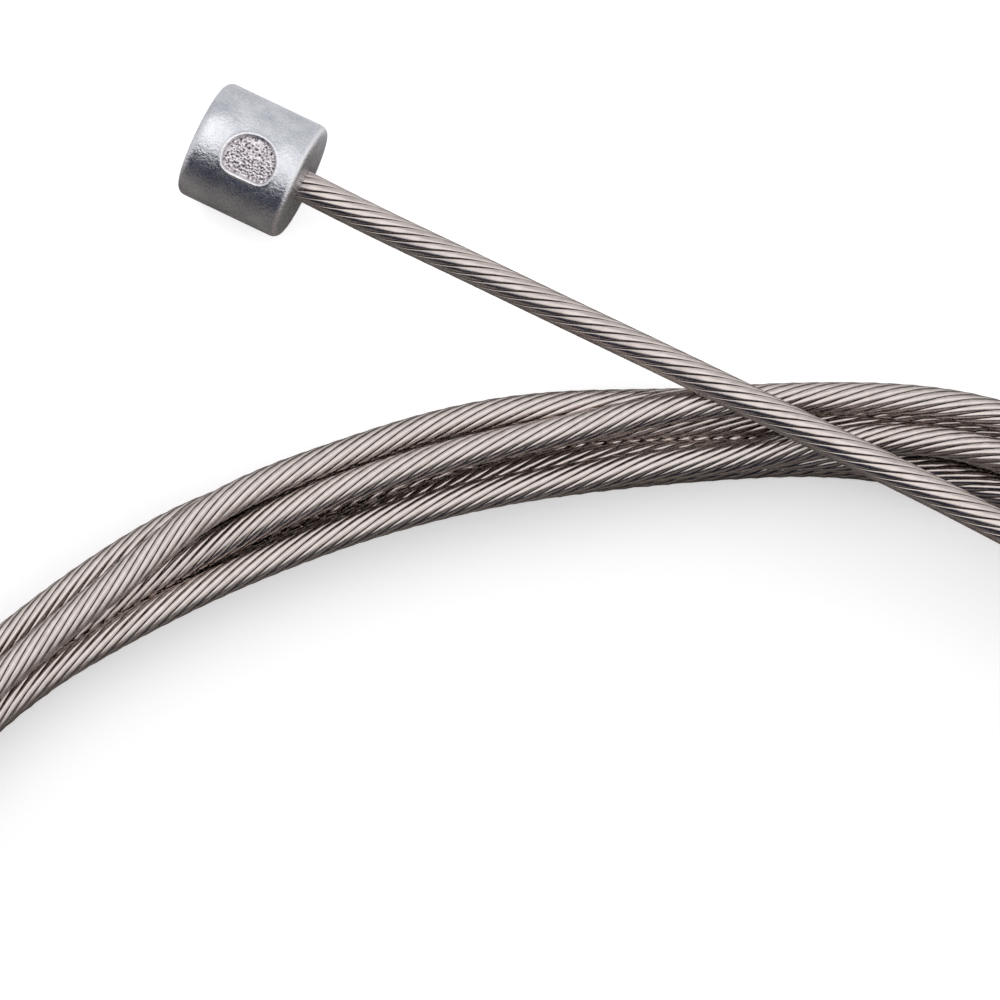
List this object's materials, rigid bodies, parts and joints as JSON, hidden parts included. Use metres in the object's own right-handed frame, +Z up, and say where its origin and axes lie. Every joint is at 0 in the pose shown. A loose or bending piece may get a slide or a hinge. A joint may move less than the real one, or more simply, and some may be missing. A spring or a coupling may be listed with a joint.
{
  "type": "shift cable",
  "caption": "Stranded steel inner wire with a die-cast barrel end, for pulling a bicycle derailleur, stored as a flat coil.",
  "frame": {"origin": "on the surface that the cable lies on, under the middle of the barrel", "axes": "+X along the barrel's axis, towards the end that the cable leaves; +Z up"},
  "size_m": [0.0517, 0.0474, 0.0057],
  "materials": {
    "zinc": "die-cast zinc, as cast, satin",
    "steel": "drawn stainless wires laid into a strand"
  },
  "bodies": {
    "root": {"barrel": "zinc", "cable_bulb": "steel", "cable_lead": "steel", "cable_coil": "steel", "cable_tail": "steel"}
  },
  "joints": []
}
